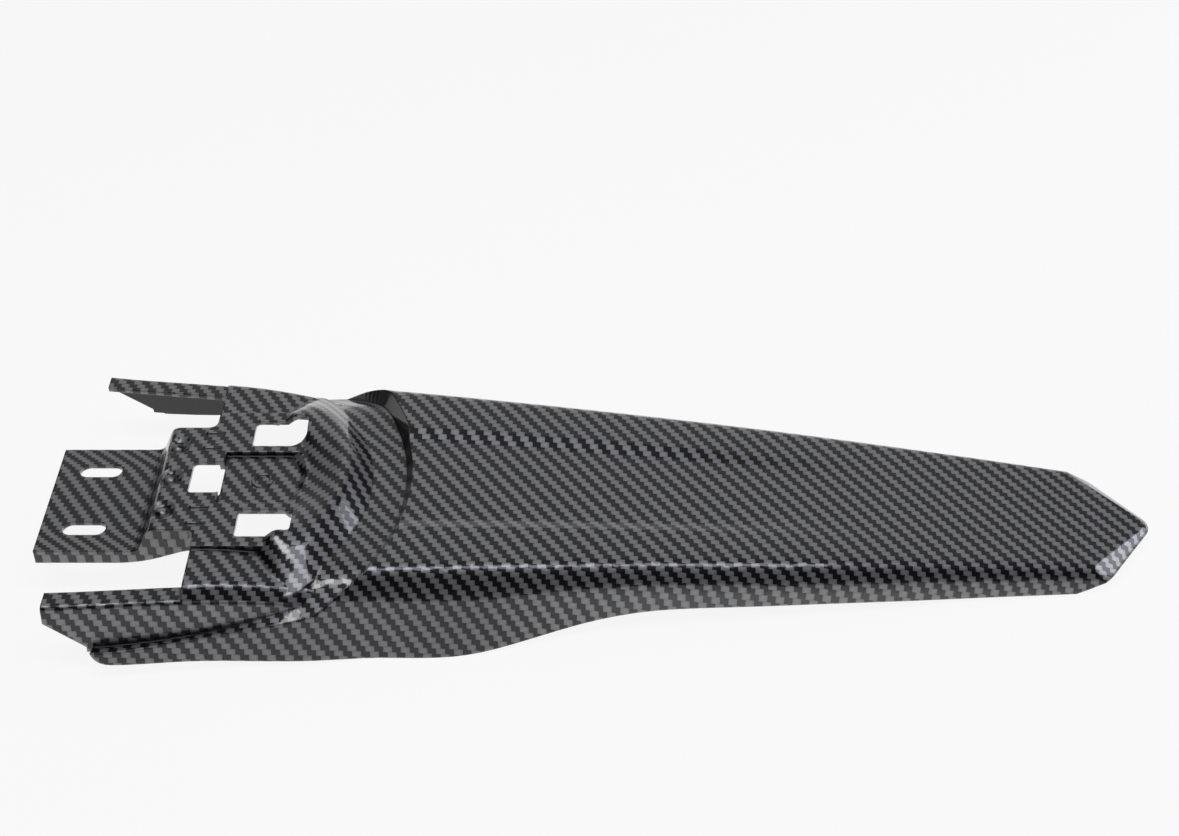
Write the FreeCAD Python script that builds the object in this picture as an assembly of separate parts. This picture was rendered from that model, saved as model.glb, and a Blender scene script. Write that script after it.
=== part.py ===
"""Motorcycle rear fender: one thin moulded shell, open underneath.

X runs across, Y along the fender from the front tongue to the tail, Z up from the floor it lies on.
Stations are distances along Y from the front edge of the tongue, and the finished shell is centred
on the origin. The shell is an outer form less the same form drawn in by the wall.
"""
import FreeCAD
import Part
import math
import os

from FreeCAD import Vector

# Shell
wall = 2.6
overall_length = 552.5

# Tongue with its two slots and turned-down sides
tongue_width = 75.0
tongue_height = 25.0
tongue_length = 50.8
tongue_flange = 7.8
slot_station = 21.5
slot_spacing = 42.4
slot_length = 21.5
slot_width = 9.5

# Step from the tongue up to the deck, and the neck between the two notches
step_run = 7.0
step_round = 4.0
deck_height = 40.0
neck_corner = 12.0
flange_height = 25.7
flange_sweep = 24.0

# Deck and side plates
plate_station = 80.0
plate_drop = 1.7
deck_half = 49.3
deck_end = 132.0
bevel_run = 5.8
bevel_inset = 0.4
bevel_round = 2.5

# Side walls, from the front of the arms to where they sink into the collar
arm_station = 16.0
wall_end = 154.0
crease_half_front = 85.6
crease_half_plate = 80.0
crease_half_end = 73.0
crease_height_front = 35.2
crease_drop_plate = 5.1
crease_height_end = 20.0
wall_flare = 5.0
wall_depth = 25.0
wall_sections = 4
crease_round = 2.5

# Arms
arm_strip = 9.8
arm_tip_drop = 8.7
arm_slant_run = 18.4
arm_slant_drop = 14.4

# Windows, recessed pad and its boss
centre_window_station = 72.4
centre_window_length = 15.6
centre_window_width = 23.0
side_window_station = 99.5
side_window_length = 27.3
side_window_inner = 23.2
side_window_width = 19.5
side_window_chamfer = 6.0
window_corner = 2.5
pad_station = 87.5
pad_half = 18.7
pad_depth = 2.8
pad_end = 129.8
pad_radius = 36.0
pad_slope_run = 3.6
boss_station = 107.8
boss_diameter = 10.5
boss_height = 0.7
boss_groove = 1.4

# Small raised ribs on the deck
rib_station = 80.1
rib_length = 9.5
rib_width = 2.2
rib_height = 0.9
rib_offsets = (21.9, 33.3)

# Scallops along the front edge of the deck, each with a domed button
scallop_station = 62.0
scallop_pitch = 23.7
scallop_radius = 7.0
scallop_depth = 2.4
button_radius = 3.6
button_height = 2.2

# Hood: a band swept round a pivot under the deck, from one leg to the other
hood_pivot = 84.8
hood_sweep = 67.0
hood_sections = 7
hood_front_radius = 45.0
hood_front_radius_side = 52.0
hood_front_sink = 0.4
hood_brow_radius = 51.0
hood_brow_radius_side = 59.0
hood_brow_rise = 1.5
hood_brow_rise_side = 8.5
hood_brow_round = 3.0
hood_rim_radius = 65.0
hood_rim_radius_side = 74.0
hood_rim_rise = 7.0
hood_rim_rise_side = -3.5
hood_rim_round = 4.0
hood_foot_radius = 77.3
hood_foot_radius_side = 90.0
hood_foot_drop = 5.0
hood_foot_drop_side = 11.0
hood_leg_start = 48.0
hood_leg_turn = 56.0
hood_leg_drop = 4.5
hood_leg_rim_radius = 62.0
hood_leg_foot_radius = 66.0

# Collar behind the hood, and the shelf that runs forward from it along the side walls
collar_height = 34.5
collar_half = 60.0
collar_round = 10.0
collar_sections = 6
shelf_start = 36.0
shelf_floor = 5.0
shelf_rise_start = 60.0
shelf_rise_end = 150.0
lip_height_front = 13.0
lip_height_rear = 31.4
lip_curve = 1.6
lip_corner = 10.0

# Tail, with the lengths called back measured from its tip
tail_station = 168.8
tail_sections = 14
tail_corner_back = 38.7
step_top_station = 183.8
step_radius = 129.0
step_slope_run = 4.5
step_rise = 7.0
shoulder_half_front = 66.3
shoulder_half_end = 37.0
shoulder_height_front = 41.7
shoulder_height_end = 12.6
tail_arch = 3.3
shoulder_round = 5.0
flank_out = 7.7
flank_out_end = 4.5
flank_drop = 9.0
flank_drop_end = 8.5
flank_taper_back = 202.5
fold_round = 5.0
panel_half_front = 34.0
panel_half_end = 22.1
panel_depth = 2.5
panel_run = 7.0
panel_fade_back = 262.5
panel_end_back = 122.5

# Lower edge of the skirts, with the S where they draw in behind the wheel
skirt_front_half = 95.0
skirt_front_height = 8.0
skirt_low_station = 212.0
skirt_low_run = 30.0
skirt_low_half = 82.0
skirt_rear_station = 290.0
skirt_rear_half = 62.0
skirt_rear_height = 9.0
skirt_round = 40.0
skirt_end_half = 41.2
skirt_end_height = -8.0

# Tail end: two bevels that meet at the tip, with the lower edge lifted off the floor
end_sweep = 37.5
end_side_margin = 1.0
end_side_back = 92.5
end_draft = 1.5
corner_round = 18.0
tip_round = 8.0
tip_height = 6.3
end_lift_back = 27.5
end_lift_run = 16.0

# Reach of the cutting bodies past the shell, the least panel step that keeps its edges, and the share
# of a side that one rounding may take
margin = 10.0
least_step = 0.02
setback_share = 0.45

# Heights and stations that follow from the sizes above
plate_height = deck_height - plate_drop
crease_height_plate = plate_height - crease_drop_plate
tail_corner = overall_length - tail_corner_back
flank_taper = overall_length - flank_taper_back
panel_fade = overall_length - panel_fade_back
panel_end = overall_length - panel_end_back
end_side_station = overall_length - end_side_back


def lerp(a, b, t):
    return a + (b - a) * t


def smooth(start, end, s):
    """0 before start, 1 after end, with a soft S between them."""
    t = min(max((s - start) / (end - start), 0.0), 1.0)
    return t * t * (3 - 2 * t)


def rounded_wire(points):
    """A closed wire through (vector, setback) corners, each rounded over its setback."""
    count = len(points)
    trims = []
    for i, (corner, setback) in enumerate(points):
        before = points[i - 1][0] - corner
        after = points[(i + 1) % count][0] - corner
        back = min(setback, setback_share * before.Length, setback_share * after.Length)
        trims.append((corner + before.normalize() * back, corner, corner + after.normalize() * back))
    edges = []
    for i, (start, corner, end) in enumerate(trims):
        if points[i][1] > 0:
            curve = Part.BezierCurve()
            curve.setPoles([start, corner, end])
            edges.append(curve.toShape())
        edges.append(Part.makeLine(end, trims[(i + 1) % count][0]))
    return Part.Wire(edges)


def plan_prism(points, bottom, top):
    """A prism over (x, y, setback) corners in plan."""
    wire = rounded_wire([(Vector(x, y, bottom), setback) for x, y, setback in points])
    return Part.Face(wire).extrude(Vector(0, 0, top - bottom))


def side_prism(points, half):
    """A prism across the fender over (station, height, setback) corners in side view."""
    wire = rounded_wire([(Vector(-half, y, z), setback) for y, z, setback in points])
    return Part.Face(wire).extrude(Vector(2 * half, 0, 0))


def drawn_in(half, depth):
    """A half profile, from the centre outwards, moved inwards by depth."""
    normals = []
    for (x0, z0, _), (x1, z1, _) in zip(half, half[1:]):
        length = math.hypot(x1 - x0, z1 - z0)
        normals.append(((z1 - z0) / length, (x0 - x1) / length))
    normals = [normals[0]] + normals + [normals[-1]]
    moved = []
    for (x, z, setback), (ax, az), (bx, bz) in zip(half, normals, normals[1:]):
        share = depth / (1 + ax * bx + az * bz)
        moved.append((x + share * (ax + bx), z + share * (az + bz), setback))
    return moved


def section(half, station, base):
    """The closed section of a symmetric half profile, carried straight down to its base."""
    ring = half[1:]
    if base < ring[-1][1]:
        ring = ring + [(ring[-1][0], base, 0)]
    ring = [(-x, z, setback) for x, z, setback in reversed(ring)] + ring
    return rounded_wire([(Vector(x, station, z), setback) for x, z, setback in ring])


def both_sides(shape):
    return shape.fuse(shape.mirror(Vector(0, 0, 0), Vector(1, 0, 0)))


# Lines of the tail and the skirts, at any station

def along_tail(s):
    return (s - tail_station) / (tail_corner - tail_station)


def shoulder(s):
    u = along_tail(s)
    height = lerp(shoulder_height_front, shoulder_height_end, u) + 4 * tail_arch * u * (1 - u)
    return lerp(shoulder_half_front, shoulder_half_end, u), height


def fold(s):
    half, height = shoulder(s)
    taper = smooth(flank_taper, tail_corner, s)
    return half + lerp(flank_out, flank_out_end, taper), height - lerp(flank_drop, flank_drop_end, taper)


def skirt_edge(s):
    u = (s - shelf_start) / (skirt_low_station - shelf_start)
    v = (s - skirt_rear_station) / (tail_corner - skirt_rear_station)
    blend = smooth(skirt_low_station, skirt_rear_station, s)
    front_height = skirt_front_height * (1 - min(u, 1))
    rear_height = lerp(skirt_rear_height, skirt_end_height, v)
    front_half = lerp(skirt_front_half, skirt_low_half, u)
    rear_half = lerp(skirt_rear_half, skirt_end_half, v)
    return lerp(front_half, rear_half, blend), lerp(front_height, rear_height, blend)


def lip_half(s, height):
    """Half width of the skirt's outside at a height."""
    top_half, top = fold(s)
    low_half, low = skirt_edge(s)
    return lerp(top_half, low_half, (top - height) / (top - low))


def tail_half(s):
    """Half profile of the tail: panel, step up to the shoulder band, flank and skirt."""
    half, height = shoulder(s)
    u = (s - tail_station) / (panel_end - tail_station)
    panel_half = lerp(panel_half_front, panel_half_end, min(u, 1))
    depth = least_step + panel_depth * (1 - smooth(panel_fade, panel_end, s))
    fold_half, fold_height = fold(s)
    low_half = lip_half(s, -margin)
    return [
        (0, height - depth, 0),
        (panel_half - panel_run / 2, height - depth, 0),
        (panel_half + panel_run / 2, height, 0),
        (half, height, shoulder_round),
        (fold_half, fold_height, fold_round),
        (low_half, -margin, 0),
    ]


def crease(s):
    """Fold between the top and the side wall in front of the hood."""
    t = (s - arm_station) / (plate_station - arm_station)
    if t <= 1:
        half = lerp(crease_half_front, crease_half_plate, t)
        return half, lerp(crease_height_front, crease_height_plate, t)
    t = (s - plate_station) / (wall_end - plate_station)
    drop = (crease_height_plate - crease_height_end) * t ** 2
    return lerp(crease_half_plate, crease_half_end, t), crease_height_plate - drop


# Bodies of the outer form, and of the same form drawn in

def tail_body(depth):
    first = shelf_start - depth
    last = overall_length + margin
    stations = [lerp(first, last, i / tail_sections) for i in range(tail_sections + 1)]
    wires = []
    for s in stations:
        half = tail_half(s)
        base = half[-1][1]
        if depth:
            half = drawn_in(half, depth)
            base = -2 * margin
        wires.append(section(half, s, base))
    return Part.makeLoft(wires, True, False).common(end_form(depth))


def end_form(depth):
    """Everything inside the pointed tail end, with its bevelled end faces."""
    sweep = math.tan(math.radians(end_sweep))
    lean = math.cos(math.radians(end_sweep))
    tip = overall_length + tip_height * end_draft / lean + tip_round * sweep * lean / 2
    tip -= depth * math.hypot(1, end_draft) / lean
    slope = (skirt_end_half - skirt_rear_half) / (tail_corner - skirt_rear_station)
    side_half = skirt_edge(end_side_station)[0] + end_side_margin
    low = -2 * margin
    wires = []
    for height in (low, shoulder(end_side_station)[1] + margin):
        vertex = tip - height * end_draft / lean
        corner_half = (side_half + slope * (vertex - end_side_station)) / (1 + slope * sweep)
        right = [(side_half, end_side_station, 0), (corner_half, vertex - corner_half * sweep, corner_round)]
        left = [(-x, y, setback) for x, y, setback in reversed(right)]
        points = right + [(0, vertex, tip_round)] + left
        wires.append(rounded_wire([(Vector(x, y, height), setback) for x, y, setback in points]))
    width = 4 * skirt_front_half
    front = Part.makeBox(width, end_side_station + margin, 4 * deck_height, Vector(-width / 2, -margin, low))
    return Part.makeLoft(wires, True, True).fuse(front)


def skirt_cut():
    """Space under the lower edge of the skirts and the tail end, with the skirts' round front corner."""
    high = skirt_front_height + 4 * lip_corner
    lift_end = overall_length - end_lift_back
    past = overall_length + 2 * margin
    points = [
        (shelf_start - margin, -2 * margin, 0),
        (shelf_start - margin, high, 0),
        (shelf_start, high, 0),
        (shelf_start, skirt_front_height, lip_corner),
        (skirt_low_station - skirt_low_run, 0, skirt_round),
        (skirt_low_station, 0, skirt_round),
        (skirt_rear_station, skirt_rear_height, skirt_round),
        (lift_end - end_lift_run, 0, 0),
        (lift_end, tip_height, end_lift_run),
        (past, tip_height, 0),
        (past, -2 * margin, 0),
    ]
    return side_prism(points, 2 * skirt_front_half)


def lip_height(s):
    """Height of the shelf's outer edge."""
    t = max(s - shelf_start, 0) / (step_top_station - shelf_start)
    return lerp(lip_height_front, lip_height_rear, t ** lip_curve)


def collar_cut(depth):
    """The space above the collar and the shelf, back to the round step of the tail."""
    low = -margin
    high = 3 * deck_height
    far = 2 * skirt_front_half
    first = shelf_start - margin
    last = step_top_station + margin
    wires = []
    for s in [lerp(first, last, i / collar_sections) for i in range(collar_sections + 1)]:
        floor = lerp(shelf_floor, collar_height, smooth(shelf_rise_start, shelf_rise_end, s)) - depth
        lip = lip_height(s)
        ring = [(collar_half, floor, collar_round), (lip_half(s, lip), lip - depth, 0)]
        ring += [(far, lip - depth, 0), (far, high, 0)]
        ring = [(-x, z, setback) for x, z, setback in reversed(ring)] + ring
        wires.append(rounded_wire([(Vector(x, s, z), setback) for x, z, setback in ring]))
    lean = step_slope_run / step_rise
    top_height = collar_height + step_rise
    foot = Vector(0, step_top_station - step_radius, low)
    low_radius = step_radius + (low - top_height) * lean + depth
    high_radius = step_radius + (high - top_height) * lean + depth
    return Part.makeLoft(wires, True, False).common(Part.makeCone(low_radius, high_radius, high - low, foot))


def side_walls(depth):
    """The side walls from the tips of the arms to the hood, as one body across the fender."""
    first = arm_station - margin if depth else arm_station
    last = wall_end - depth
    wires = []
    for s in [lerp(first, last, i / wall_sections) for i in range(wall_sections + 1)]:
        half, height = crease(s)
        profile = [(0, height, 0), (half, height, crease_round), (half + wall_flare, height - wall_depth, 0)]
        base = profile[-1][1]
        if depth:
            profile = drawn_in(profile, depth)
            base = -2 * margin
        wires.append(section(profile, s, base))
    return Part.makeLoft(wires, True, False)


def plates(depth):
    """The side plates with their bevels, as one body across the fender."""
    wires = []
    for t in (0, 0.5, 1):
        s = lerp(plate_station + depth, wall_end - depth, t)
        half, height = crease(s)
        top = plate_height - (crease_height_plate - height)
        profile = [
            (0, top - depth, 0),
            (half - bevel_run - depth / 2, top - depth, bevel_round),
            (half - bevel_inset - depth, height - depth, 0),
        ]
        base = -2 * margin if depth else height - wall_depth
        wires.append(section(profile, s, base))
    return Part.makeLoft(wires, True, False)


def arm_gap(depth):
    """Everything between the arms: all heights on the outside, and above the well on the inside."""
    corners = []
    for s in (-2 * margin, plate_station + (2 * wall if depth else wall / 2)):
        half = crease(s)[0] - arm_strip - depth
        corners += [(half, s, 0), (-half, s, 0)]
    corners[2:] = reversed(corners[2:])
    low = tongue_height - tongue_flange if depth else -2 * margin
    return plan_prism(corners, low, 4 * deck_height)


def tongue_body(depth):
    """Tongue and the step up to the deck, in side view."""
    front = -margin if depth else 0
    lean = math.hypot(step_run, deck_height - tongue_height) / (deck_height - tongue_height)
    shift = depth * (lean - step_run / (deck_height - tongue_height))
    low = -margin if depth else 0
    points = [
        (front, low, 0),
        (front, tongue_height - depth, 0),
        (tongue_length + shift, tongue_height - depth, step_round),
        (tongue_length + step_run + shift, deck_height - depth, step_round),
        (plate_station, deck_height - depth, 0),
        (plate_station, low, 0),
    ]
    return side_prism(points, tongue_width / 2 - depth)


def deck_body(depth):
    """Deck in plan, with the neck's round inner corners, behind the step."""
    neck = tongue_width / 2 - depth
    half = deck_half - depth
    front = tongue_length + step_run + step_round + depth
    edge = plate_station + depth
    right = [
        (neck, front, 0),
        (neck, edge, neck_corner),
        (half, edge, 0),
        (half, deck_end, 0),
    ]
    left = [(-x, y, setback) for x, y, setback in reversed(right)]
    low = -margin if depth else 0
    return plan_prism(right + left, low, deck_height - depth)


def hood_profile(angle):
    """Radius and height across the hood's band at an angle round its pivot, from the front outwards."""
    t = (angle / hood_sweep) ** 2
    sunk = smooth(hood_leg_start, hood_sweep, abs(angle))
    turned = smooth(hood_leg_turn, hood_sweep, abs(angle))
    front = lerp(hood_front_radius, hood_front_radius_side, t)
    brow = lerp(hood_brow_radius, hood_brow_radius_side, t)
    rim = lerp(lerp(hood_rim_radius, hood_rim_radius_side, t), hood_leg_rim_radius, turned)
    foot = lerp(lerp(hood_foot_radius, hood_foot_radius_side, t), hood_leg_foot_radius, turned)
    brow_rise = lerp(hood_brow_rise, hood_brow_rise_side, t)
    rim_rise = lerp(hood_rim_rise, hood_rim_rise_side, t)
    return [
        (front, deck_height + lerp(-hood_front_sink, -hood_leg_drop, sunk), 0),
        (brow, deck_height + lerp(brow_rise, -hood_leg_drop, sunk), hood_brow_round),
        (rim, deck_height + lerp(rim_rise, -hood_leg_drop, sunk), hood_rim_round),
        (foot, deck_height - lerp(hood_foot_drop, hood_foot_drop_side, t), 0),
    ]


def hood_body(depth):
    """The hood's band, lofted through sections that stand round its pivot."""
    sweep = hood_sweep - math.degrees(depth / hood_rim_radius)
    base = collar_height - 4 * wall
    wires = []
    for i in range(-hood_sections, hood_sections + 1):
        angle = sweep * i / hood_sections
        profile = hood_profile(angle)
        if depth:
            profile = drawn_in(profile, depth)
        ring = [(profile[0][0], base, 0)] + profile + [(profile[-1][0], base, 0)]
        out_x = math.sin(math.radians(angle))
        out_y = math.cos(math.radians(angle))
        corners = [(Vector(r * out_x, hood_pivot + r * out_y, z), setback) for r, z, setback in ring]
        wires.append(rounded_wire(corners))
    return Part.makeLoft(wires, True, False)


def pad_cut(depth):
    """The recess in the deck, with its round, sloped rear end."""
    half = pad_half + depth
    floor = deck_height - pad_depth - depth
    centre = Vector(0, pad_end - pad_radius, floor)
    radius = pad_radius - pad_slope_run + depth
    high = floor + deck_height
    slope = Part.makeCone(radius, radius + deck_height * pad_slope_run / pad_depth, deck_height, centre)
    front = pad_station - depth
    back = pad_end + deck_height
    edge = [(-half, front, 0), (half, front, 0)]
    lane = plan_prism(edge + [(half, back, 0), (-half, back, 0)], floor, high)
    block = plan_prism(edge + [(half, centre.y, 0), (-half, centre.y, 0)], floor, high)
    return block.fuse(slope.common(lane))


def scallop_places():
    return [Vector(i * scallop_pitch, scallop_station, deck_height) for i in (-1, 0, 1)]


def scallops(depth):
    """Round dishes over the front edge of the deck."""
    ball = (scallop_radius ** 2 + scallop_depth ** 2) / (2 * scallop_depth)
    rise = Vector(0, 0, ball - scallop_depth)
    balls = [Part.makeSphere(ball + depth, place + rise) for place in scallop_places()]
    return balls[0].fuse(balls[1:])


def buttons():
    """Domed buttons that stand in the scallops."""
    ball = (button_radius ** 2 + button_height ** 2) / (2 * button_height)
    floor = Vector(0, 0, scallop_depth)
    shapes = []
    for place in scallop_places():
        dome = Part.makeSphere(ball, place - floor + Vector(0, 0, button_height - ball))
        stem = Part.makeCylinder(ball, wall / 2 + button_height, place - floor - Vector(0, 0, wall / 2))
        shapes.append(dome.common(stem))
    return shapes


def outer_form():
    form = tail_body(0).cut(skirt_cut()).cut(collar_cut(0))
    walls = side_walls(0).cut(arm_gap(0))
    form = form.fuse([walls, plates(0), tongue_body(0), deck_body(0), hood_body(0)])
    return form.cut([pad_cut(0), scallops(0)])


def inner_form():
    form = tail_body(wall).cut(collar_cut(wall))
    walls = side_walls(wall).cut(arm_gap(wall))
    form = form.fuse([walls, plates(wall), tongue_body(wall), deck_body(wall), hood_body(wall)])
    return form.cut([pad_cut(wall), scallops(wall)])


# Cuts and small raised details

def under_cut():
    """Space below the turned-down edge of the tongue, the neck and the plates' front."""
    foot = tongue_height - tongue_flange
    points = [
        (-margin, -margin, 0),
        (-margin, foot, 0),
        (tongue_length, foot, flange_sweep / 2),
        (tongue_length + flange_sweep, flange_height, flange_sweep / 2),
        (plate_station + 2 * wall, flange_height, 0),
        (plate_station + 2 * wall, -margin, 0),
    ]
    return side_prism(points, crease_half_plate - arm_strip - wall)


def arm_slants():
    """Slanted lower front corners of the arms."""
    top = crease_height_front - arm_tip_drop
    points = [
        (-margin, top, 0),
        (arm_station, top, 0),
        (arm_station + arm_slant_run, top - arm_slant_drop, 0),
        (arm_station + arm_slant_run, -margin, 0),
        (-margin, -margin, 0),
    ]
    cut = side_prism(points, 2 * crease_half_front)
    keep = Part.makeBox(tongue_width + 2 * margin, 4 * plate_station, 4 * deck_height)
    keep.translate(Vector(-tongue_width / 2 - margin, -plate_station, -deck_height))
    return cut.cut(keep)


def slots():
    """Two through slots along the tongue."""
    radius = slot_width / 2
    reach = slot_length / 2 - radius
    cuts = []
    for x in (-slot_spacing / 2, slot_spacing / 2):
        ends = [Vector(x, slot_station + side * reach, 0) for side in (-1, 1)]
        cuts += [Part.makeCylinder(radius, deck_height, end) for end in ends]
        cuts.append(Part.makeBox(slot_width, 2 * reach, deck_height, ends[0] - Vector(radius, 0, 0)))
    return cuts


def windows():
    """Through windows: one in the middle of the neck and one each side of the pad."""
    half = centre_window_width / 2
    front = centre_window_station
    back = front + centre_window_length
    centre = [(-half, front, window_corner), (half, front, window_corner)]
    centre += [(half, back, window_corner), (-half, back, window_corner)]
    outer = side_window_inner + side_window_width
    front = side_window_station
    back = front + side_window_length
    side = [
        (side_window_inner, front, window_corner),
        (outer, front, window_corner),
        (outer, back, window_corner),
        (side_window_inner + side_window_chamfer, back, window_corner),
        (side_window_inner, back - side_window_chamfer, window_corner),
    ]
    low = deck_height / 2
    high = 2 * deck_height
    return [plan_prism(centre, low, high), both_sides(plan_prism(side, low, high))]


def ribs():
    """Four short raised ribs with rounded ends."""
    half = rib_width / 2
    reach = rib_length / 2
    shapes = []
    for x in [side * offset for side in (-1, 1) for offset in rib_offsets]:
        corners = [(x - half, rib_station - reach, half), (x + half, rib_station - reach, half)]
        corners += [(x + half, rib_station + reach, half), (x - half, rib_station + reach, half)]
        shapes.append(plan_prism(corners, deck_height - wall / 2, deck_height + rib_height))
    return shapes


def boss():
    """Low ring on the pad."""
    floor = deck_height - pad_depth
    foot = Vector(0, boss_station, floor - wall / 2)
    ring = Part.makeCylinder(boss_diameter / 2, wall / 2 + boss_height, foot)
    hollow = Part.makeCylinder(boss_diameter / 2 - boss_groove, boss_height, Vector(0, boss_station, floor))
    return ring.cut(hollow)


def floor_cut():
    """Everything below the floor that the fender lies on."""
    side = 2 * overall_length
    return Part.makeBox(side, side, deck_height, Vector(-overall_length, -margin, -deck_height))


def rear_fender():
    shell = outer_form().cut(inner_form())
    shell = shell.cut([under_cut(), arm_slants(), floor_cut()] + slots() + windows())
    shell = shell.fuse(ribs() + [boss()] + buttons())
    shell.translate(Vector(0, -overall_length / 2, 0))
    return shell


os.makedirs("parts", exist_ok=True)
fender = rear_fender()
print("solids", len(fender.Solids), "valid", fender.isValid(), "volume", round(fender.Volume))
fender.exportStep("parts/rear_fender.step")
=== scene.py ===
"""The rear fender in a carbon twill film under clear coat, on a pale studio floor."""
import bpy
import math
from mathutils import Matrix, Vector
from mathutils.bvhtree import BVHTree

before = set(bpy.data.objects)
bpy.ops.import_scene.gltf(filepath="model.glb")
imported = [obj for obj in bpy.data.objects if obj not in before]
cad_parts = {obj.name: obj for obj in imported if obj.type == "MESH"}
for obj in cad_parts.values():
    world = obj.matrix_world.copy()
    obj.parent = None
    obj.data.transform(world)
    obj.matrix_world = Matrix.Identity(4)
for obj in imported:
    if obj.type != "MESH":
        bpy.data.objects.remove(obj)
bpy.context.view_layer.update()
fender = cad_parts["rear_fender"]

# Twill film, in metres: size of a thread crossing, and how the film falls over the sides
CELL_ALONG = 0.00208
CELL_ACROSS = 0.0028
REPEAT = 4
SIDE_START = 0.020
SIDE_END = 0.045
SIDE_FALL = 0.675
TAIL_FRONT = -0.1075
TAIL_RUN = 0.345
TOP_FRONT = 0.0417
TOP_DROP = 0.0291
TOP_ARCH = 0.0132

# Forward share of a face's normal at which painted shade on steep front-facing risers begins, and at
# which it is full; the light threads are taken out there
RISER_SHADE_START = 0.62
RISER_SHADE_FULL = 0.74

# Reach of the painted shade in tight corners, and the share of open sky at which a corner is fully
# shaded and at which it is unshaded
CORNER_SHADE_REACH = 0.004
CORNER_SHADE_FULL = 0.60
CORNER_SHADE_START = 0.88
CORNER_SHADE_SAMPLES = 8

# Thread colours, and what a thread's own length, its round section and its fibres add to its shade
BLACK = (0.0, 0.0, 0.0, 1.0)
LIGHT_THREAD = (0.30, 0.303, 0.308, 1.0)
DARK_THREAD = (0.004, 0.004, 0.005, 1.0)
DARK_GAP = (0.001, 0.001, 0.001, 1.0)
SHADE_LEAST = 0.62
SHADE_SWELL = 0.22
SHADE_ROUND = 0.16
SHADE_FIBRE = 0.35
FIBRE_SCALE = 2600.0

# Finish of the film and of the coat over it, with bumps as strength and height
LIGHT_METALLIC = 0.5
FILM_ROUGHNESS = 0.36
FILM_ROUGHNESS_SPREAD = 0.14
FILM_SPECULAR = 0.25
WEAVE_BUMP = (0.12, 0.00012)
COAT_ROUGHNESS = 0.035
COAT_IOR = 1.45
PEEL_SCALE = 420.0
PEEL_BUMP = (0.05, 0.0002)

# Bare plastic inside
INSIDE_DARK = (0.040, 0.040, 0.042, 1.0)
INSIDE_LIGHT = (0.055, 0.055, 0.058, 1.0)
CLOUD_SCALE = 60.0
GRAIN_SCALE = 1500.0
GRAIN_BUMP = (0.12, 0.0001)
INSIDE_ROUGHNESS = 0.38
INSIDE_ROUGHNESS_SPREAD = 0.2

# Edges flatter than this are shaded smooth, and all others get a small rounding
SMOOTH_ANGLE = math.radians(12)
EDGE_RADIUS = 0.0014
EDGE_SAMPLES = 6
WELD_DISTANCE = 0.00001

# How far off a face its cover is looked for
FACE_LIFT = 0.0004

# Floor, and the share of plain white in it that the camera and the reflections see
FLOOR_SIZE = 60.0
FLOOR_COLOUR = (0.88, 0.88, 0.88, 1.0)
FLOOR_ROUGHNESS = 0.9
FLOOR_WHITE = 0.90

# Sky: its level from the far side to the camera's side, and the share left at the front and the rear
SKY_ACROSS = (-0.85, -0.20)
SKY_LIGHT = 0.62
SKY_DARK = 0.03
SKY_FRONT = (-0.75, -0.30)
SKY_FRONT_SHARE = 0.05
SKY_REAR = (0.28, 0.68)
SKY_REAR_SHARE = 0.08

# Lamps: name, place, aim, size, power and colour
WHITE_LIGHT = (1.0, 1.0, 1.0)
COOL_LIGHT = (0.90, 0.90, 1.0)
LAMPS = (
    ("overhead", (0.15, 0.12, 1.25), (0.15, 0.12, 0), (0.35, 0.9), 5.0, COOL_LIGHT),
    ("strip", (0.02, -0.455, 1.25), (0.02, -0.455, 0), (0.20, 0.38), 1.9, WHITE_LIGHT),
    ("tail", (-0.23, 1.15, 0.46), (0.02, 0.26, 0.01), (0.7, 0.56), 4.6, COOL_LIGHT),
)

# Camera
CAMERA_PLACE = Vector((0.6878, -0.00645, 0.655))
CAMERA_FALL = math.radians(40)
CAMERA_LENS = 56.92

# Places of a mix node's colour sockets
MIX_FIRST = 6
MIX_SECOND = 7
MIX_RESULT = 2


def feed(tree, socket, value):
    if isinstance(value, bpy.types.NodeSocket):
        tree.links.new(value, socket)
    else:
        socket.default_value = value


def calc(tree, operation, *values):
    node = tree.nodes.new("ShaderNodeMath")
    node.operation = operation
    for socket, value in zip(node.inputs, values):
        feed(tree, socket, value)
    return node.outputs[0]


def remap(tree, value, low, high, to_low, to_high, kind="SMOOTHSTEP"):
    node = tree.nodes.new("ShaderNodeMapRange")
    node.interpolation_type = kind
    names = ("Value", "From Min", "From Max", "To Min", "To Max")
    for name, entry in zip(names, (value, low, high, to_low, to_high)):
        feed(tree, node.inputs[name], entry)
    return node.outputs["Result"]


def blend_colour(tree, factor, first, second):
    node = tree.nodes.new("ShaderNodeMix")
    node.data_type = "RGBA"
    feed(tree, node.inputs["Factor"], factor)
    feed(tree, node.inputs[MIX_FIRST], first)
    feed(tree, node.inputs[MIX_SECOND], second)
    return node.outputs[MIX_RESULT]


def split_axes(tree, vector):
    node = tree.nodes.new("ShaderNodeSeparateXYZ")
    tree.links.new(vector, node.inputs[0])
    return node.outputs


def noise(tree, place, scale, detail):
    node = tree.nodes.new("ShaderNodeTexNoise")
    feed(tree, node.inputs["Vector"], place)
    node.inputs["Scale"].default_value = scale
    node.inputs["Detail"].default_value = detail
    return node.outputs["Fac"]


def bump(tree, height, size, normal):
    node = tree.nodes.new("ShaderNodeBump")
    strength, distance = size
    node.inputs["Strength"].default_value = strength
    node.inputs["Distance"].default_value = distance
    feed(tree, node.inputs["Height"], height)
    feed(tree, node.inputs["Normal"], normal)
    return node.outputs["Normal"]


def new_material(name):
    material = bpy.data.materials.new(name)
    material.use_nodes = True
    tree = material.node_tree
    tree.nodes.clear()
    shader = tree.nodes.new("ShaderNodeBsdfPrincipled")
    output = tree.nodes.new("ShaderNodeOutputMaterial")
    tree.links.new(shader.outputs["BSDF"], output.inputs["Surface"])
    return material, tree, shader


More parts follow.
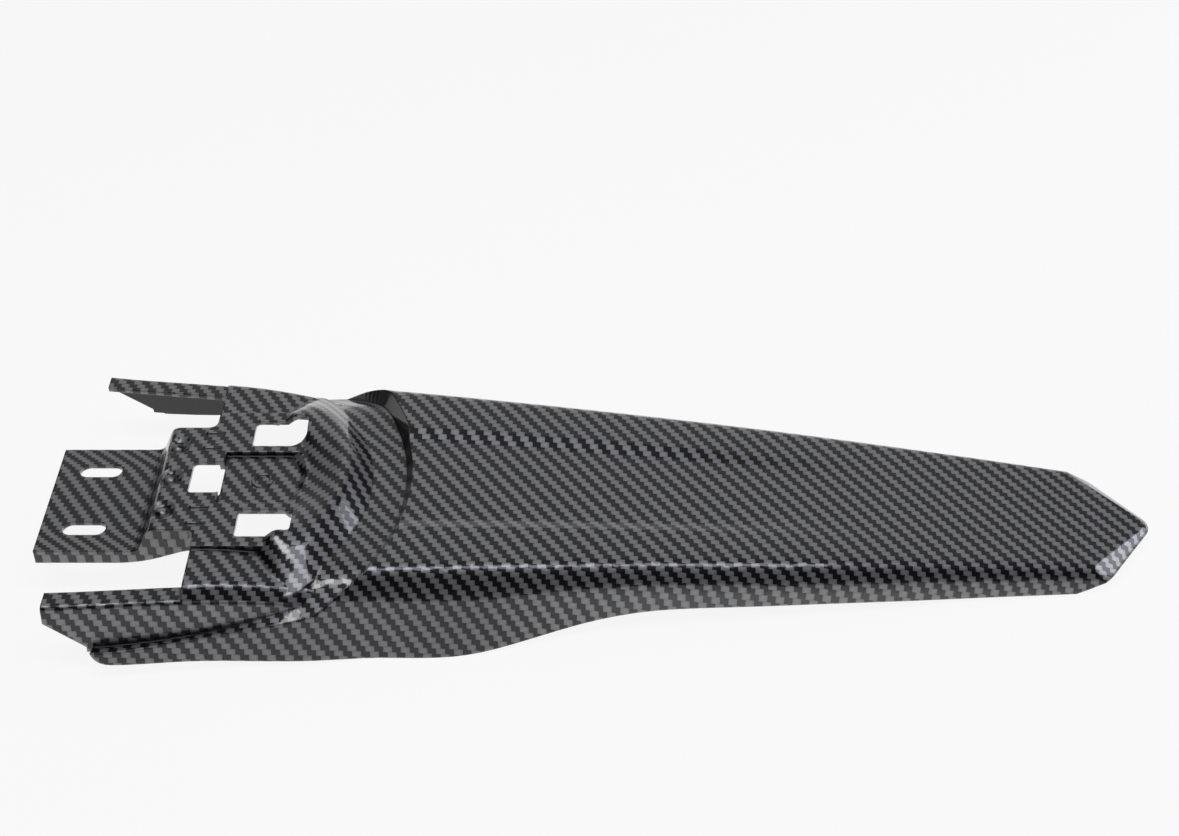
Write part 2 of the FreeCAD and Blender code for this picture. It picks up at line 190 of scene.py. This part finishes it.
def rounded_edges(tree):
    node = tree.nodes.new("ShaderNodeBevel")
    node.samples = EDGE_SAMPLES
    node.inputs["Radius"].default_value = EDGE_RADIUS
    return node.outputs["Normal"]


def film_place(tree, place):
    """Thread counts along and across, with the film laid over the top and down both sides."""
    x, y, z = split_axes(tree, place)
    back = remap(tree, y, TAIL_FRONT, TAIL_FRONT + TAIL_RUN, 0.0, 1.0, "LINEAR")
    arch = calc(tree, "MULTIPLY", back, calc(tree, "SUBTRACT", 1.0, back))
    top = calc(tree, "MULTIPLY_ADD", arch, TOP_ARCH, TOP_FRONT)
    top = calc(tree, "MULTIPLY_ADD", back, -TOP_DROP, top)
    side = remap(tree, calc(tree, "ABSOLUTE", x), SIDE_START, SIDE_END, 0.0, SIDE_FALL)
    side = calc(tree, "MULTIPLY", side, calc(tree, "SIGN", x))
    across = calc(tree, "MULTIPLY_ADD", calc(tree, "SUBTRACT", top, z), side, x)
    return calc(tree, "DIVIDE", y, CELL_ALONG), calc(tree, "DIVIDE", across, CELL_ACROSS)


def painted_riser_corner_shade(tree):
    """Painted shade: the share of the light threads kept, down to none on steep risers towards the
    front and in tight corners.
    """
    normal = tree.nodes.new("ShaderNodeNewGeometry").outputs["Normal"]
    # painted shade: steep faces turned towards the front lose their light threads
    riser_shade = remap(tree, split_axes(tree, normal)["Y"], -RISER_SHADE_FULL, -RISER_SHADE_START, 0.0, 1.0)
    # painted shade: ambient occlusion takes the light threads out of tight corners
    sky = tree.nodes.new("ShaderNodeAmbientOcclusion")
    sky.samples = CORNER_SHADE_SAMPLES
    sky.only_local = True
    sky.inputs["Distance"].default_value = CORNER_SHADE_REACH
    corner_shade = remap(tree, sky.outputs["AO"], CORNER_SHADE_FULL, CORNER_SHADE_START, 0.0, 1.0)
    return calc(tree, "MULTIPLY", riser_shade, corner_shade)


def twill(tree, place):
    """Where the light threads lie, less where painted shade falls on risers and in corners, how far
    each thread swells along its run, and its round section.
    """
    along, across = film_place(tree, place)
    row = calc(tree, "FLOOR", across)
    step = calc(tree, "FLOORED_MODULO", calc(tree, "SUBTRACT", along, row), REPEAT)
    light = calc(tree, "LESS_THAN", step, REPEAT / 2)
    run = calc(tree, "FRACT", calc(tree, "DIVIDE", step, REPEAT / 2))
    swell = calc(tree, "SINE", calc(tree, "MULTIPLY", run, math.pi))
    thread = calc(tree, "SINE", calc(tree, "MULTIPLY", calc(tree, "FRACT", across), math.pi))
    # the light threads are multiplied by the painted shade of risers and corners
    return calc(tree, "MULTIPLY", light, painted_riser_corner_shade(tree)), swell, thread


def carbon_material():
    material, tree, shader = new_material("carbon_twill")
    place = tree.nodes.new("ShaderNodeTexCoord").outputs["Object"]
    # light holds the light threads with the painted shade of risers and corners taken out, for colour
    # and metallic
    light, swell, thread = twill(tree, place)
    fibre = noise(tree, place, FIBRE_SCALE, 1.0)
    shade = calc(tree, "MULTIPLY_ADD", swell, SHADE_SWELL, SHADE_LEAST)
    shade = calc(tree, "MULTIPLY_ADD", thread, SHADE_ROUND, shade)
    shade = calc(tree, "MULTIPLY_ADD", calc(tree, "SUBTRACT", fibre, 0.5), SHADE_FIBRE, shade)
    bright = blend_colour(tree, shade, BLACK, LIGHT_THREAD)
    dark = blend_colour(tree, shade, DARK_GAP, DARK_THREAD)
    tree.links.new(blend_colour(tree, light, dark, bright), shader.inputs["Base Color"])
    tree.links.new(calc(tree, "MULTIPLY", light, LIGHT_METALLIC), shader.inputs["Metallic"])
    rough = calc(tree, "MULTIPLY_ADD", fibre, FILM_ROUGHNESS_SPREAD, FILM_ROUGHNESS)
    tree.links.new(rough, shader.inputs["Roughness"])
    edges = rounded_edges(tree)
    weave = calc(tree, "MULTIPLY", swell, thread)
    tree.links.new(bump(tree, weave, WEAVE_BUMP, edges), shader.inputs["Normal"])
    peel = noise(tree, place, PEEL_SCALE, 1.0)
    tree.links.new(bump(tree, peel, PEEL_BUMP, edges), shader.inputs["Coat Normal"])
    shader.inputs["Specular IOR Level"].default_value = FILM_SPECULAR
    shader.inputs["Coat Weight"].default_value = 1.0
    shader.inputs["Coat Roughness"].default_value = COAT_ROUGHNESS
    shader.inputs["Coat IOR"].default_value = COAT_IOR
    return material


def inside_material():
    material, tree, shader = new_material("plain_inside")
    place = tree.nodes.new("ShaderNodeTexCoord").outputs["Object"]
    cloud = noise(tree, place, CLOUD_SCALE, 3.0)
    grain = noise(tree, place, GRAIN_SCALE, 2.0)
    tree.links.new(blend_colour(tree, cloud, INSIDE_DARK, INSIDE_LIGHT), shader.inputs["Base Color"])
    rough = calc(tree, "MULTIPLY_ADD", grain, INSIDE_ROUGHNESS_SPREAD, INSIDE_ROUGHNESS)
    tree.links.new(rough, shader.inputs["Roughness"])
    tree.links.new(bump(tree, grain, GRAIN_BUMP, rounded_edges(tree)), shader.inputs["Normal"])
    return material


def paint(obj):
    """The film covers what can be seen from above, and the moulding's own plastic shows inside."""
    mesh = obj.data
    mesh.materials.clear()
    mesh.materials.append(carbon_material())
    mesh.materials.append(inside_material())
    tree = BVHTree.FromPolygons([v.co for v in mesh.vertices], [p.vertices for p in mesh.polygons])
    for face in mesh.polygons:
        start = face.center + face.normal * FACE_LIFT
        ways = (Vector((0, 0, 1)), Vector((math.copysign(1, face.center.x), 0, 1)).normalized())
        covered = all(tree.ray_cast(start, way)[0] is not None for way in ways)
        face.material_index = 1 if covered else 0
        face.use_smooth = True


def smooth_group():
    """Geometry nodes that shade the edges under the smooth angle smooth."""
    group = bpy.data.node_groups.new("smooth_by_angle", "GeometryNodeTree")
    for way in ("INPUT", "OUTPUT"):
        group.interface.new_socket("Geometry", in_out=way, socket_type="NodeSocketGeometry")
    start = group.nodes.new("NodeGroupInput")
    end = group.nodes.new("NodeGroupOutput")
    angle = group.nodes.new("GeometryNodeInputMeshEdgeAngle")
    test = group.nodes.new("FunctionNodeCompare")
    test.operation = "LESS_THAN"
    test.inputs["B"].default_value = SMOOTH_ANGLE
    shade = group.nodes.new("GeometryNodeSetShadeSmooth")
    shade.domain = "EDGE"
    group.links.new(angle.outputs["Unsigned Angle"], test.inputs["A"])
    group.links.new(test.outputs["Result"], shade.inputs["Shade Smooth"])
    group.links.new(start.outputs["Geometry"], shade.inputs["Geometry"])
    group.links.new(shade.outputs["Geometry"], end.inputs["Geometry"])
    return group


def smooth_shading(obj):
    """Joins the faces' borders and keeps only the edges that are really sharp."""
    weld = obj.modifiers.new("join_borders", "WELD")
    weld.merge_threshold = WELD_DISTANCE
    obj.modifiers.new("smooth_by_angle", "NODES").node_group = smooth_group()
    even = obj.modifiers.new("even_normals", "WEIGHTED_NORMAL")
    even.keep_sharp = True


def floor_material():
    """A pale floor that the camera and the reflections see as nearly white, with its shadows."""
    material, tree, shader = new_material("pale_floor")
    shader.inputs["Base Color"].default_value = FLOOR_COLOUR
    shader.inputs["Roughness"].default_value = FLOOR_ROUGHNESS
    shader.inputs["Specular IOR Level"].default_value = 0.0
    path = tree.nodes.new("ShaderNodeLightPath")
    seen = calc(tree, "MAXIMUM", path.outputs["Is Camera Ray"], path.outputs["Is Glossy Ray"])
    seen = calc(tree, "MAXIMUM", seen, path.outputs["Is Transmission Ray"])
    white = tree.nodes.new("ShaderNodeEmission")
    white.inputs["Strength"].default_value = 1.0
    mix = tree.nodes.new("ShaderNodeMixShader")
    tree.links.new(calc(tree, "MULTIPLY", seen, FLOOR_WHITE), mix.inputs[0])
    tree.links.new(shader.outputs["BSDF"], mix.inputs[1])
    tree.links.new(white.outputs[0], mix.inputs[2])
    tree.links.new(mix.outputs[0], tree.nodes["Material Output"].inputs["Surface"])
    return material


def add_floor():
    bpy.ops.mesh.primitive_plane_add(size=FLOOR_SIZE, location=(0, 0, 0))
    floor = bpy.context.object
    floor.name = "floor"
    floor.data.materials.append(floor_material())


def add_sky():
    """Soft light from the far side, falling off towards the camera, the front and the rear."""
    world = bpy.data.worlds.new("studio")
    bpy.context.scene.world = world
    world.use_nodes = True
    tree = world.node_tree
    tree.nodes.clear()
    way = split_axes(tree, tree.nodes.new("ShaderNodeTexCoord").outputs["Generated"])
    level = remap(tree, way["X"], *SKY_ACROSS, SKY_LIGHT, SKY_DARK)
    front = remap(tree, way["Y"], *SKY_FRONT, SKY_FRONT_SHARE, 1.0)
    rear = remap(tree, way["Y"], *SKY_REAR, 1.0, SKY_REAR_SHARE)
    level = calc(tree, "MULTIPLY", level, calc(tree, "MULTIPLY", front, rear))
    back = tree.nodes.new("ShaderNodeBackground")
    tree.links.new(level, back.inputs["Strength"])
    output = tree.nodes.new("ShaderNodeOutputWorld")
    tree.links.new(back.outputs[0], output.inputs["Surface"])


def add_softbox(name, place, aim, size, power, colour):
    light = bpy.data.lights.new(name, "AREA")
    light.shape = "RECTANGLE"
    light.size, light.size_y = size
    light.energy = power
    light.color = colour
    lamp = bpy.data.objects.new(name, light)
    lamp.location = place
    lamp.rotation_euler = (Vector(aim) - Vector(place)).to_track_quat("-Z", "Y").to_euler()
    bpy.context.scene.collection.objects.link(lamp)


def add_camera():
    data = bpy.data.cameras.new("camera")
    data.sensor_fit = "HORIZONTAL"
    data.lens = CAMERA_LENS
    eye = bpy.data.objects.new("camera", data)
    eye.location = CAMERA_PLACE
    look = Vector((-math.cos(CAMERA_FALL), 0, -math.sin(CAMERA_FALL)))
    eye.rotation_euler = look.to_track_quat("-Z", "Y").to_euler()
    bpy.context.scene.collection.objects.link(eye)
    bpy.context.scene.camera = eye


paint(fender)
smooth_shading(fender)
add_floor()
add_sky()
for lamp_values in LAMPS:
    add_softbox(*lamp_values)
add_camera()
bpy.context.scene.view_settings.view_transform = "Standard"

bpy.context.view_layer.update()
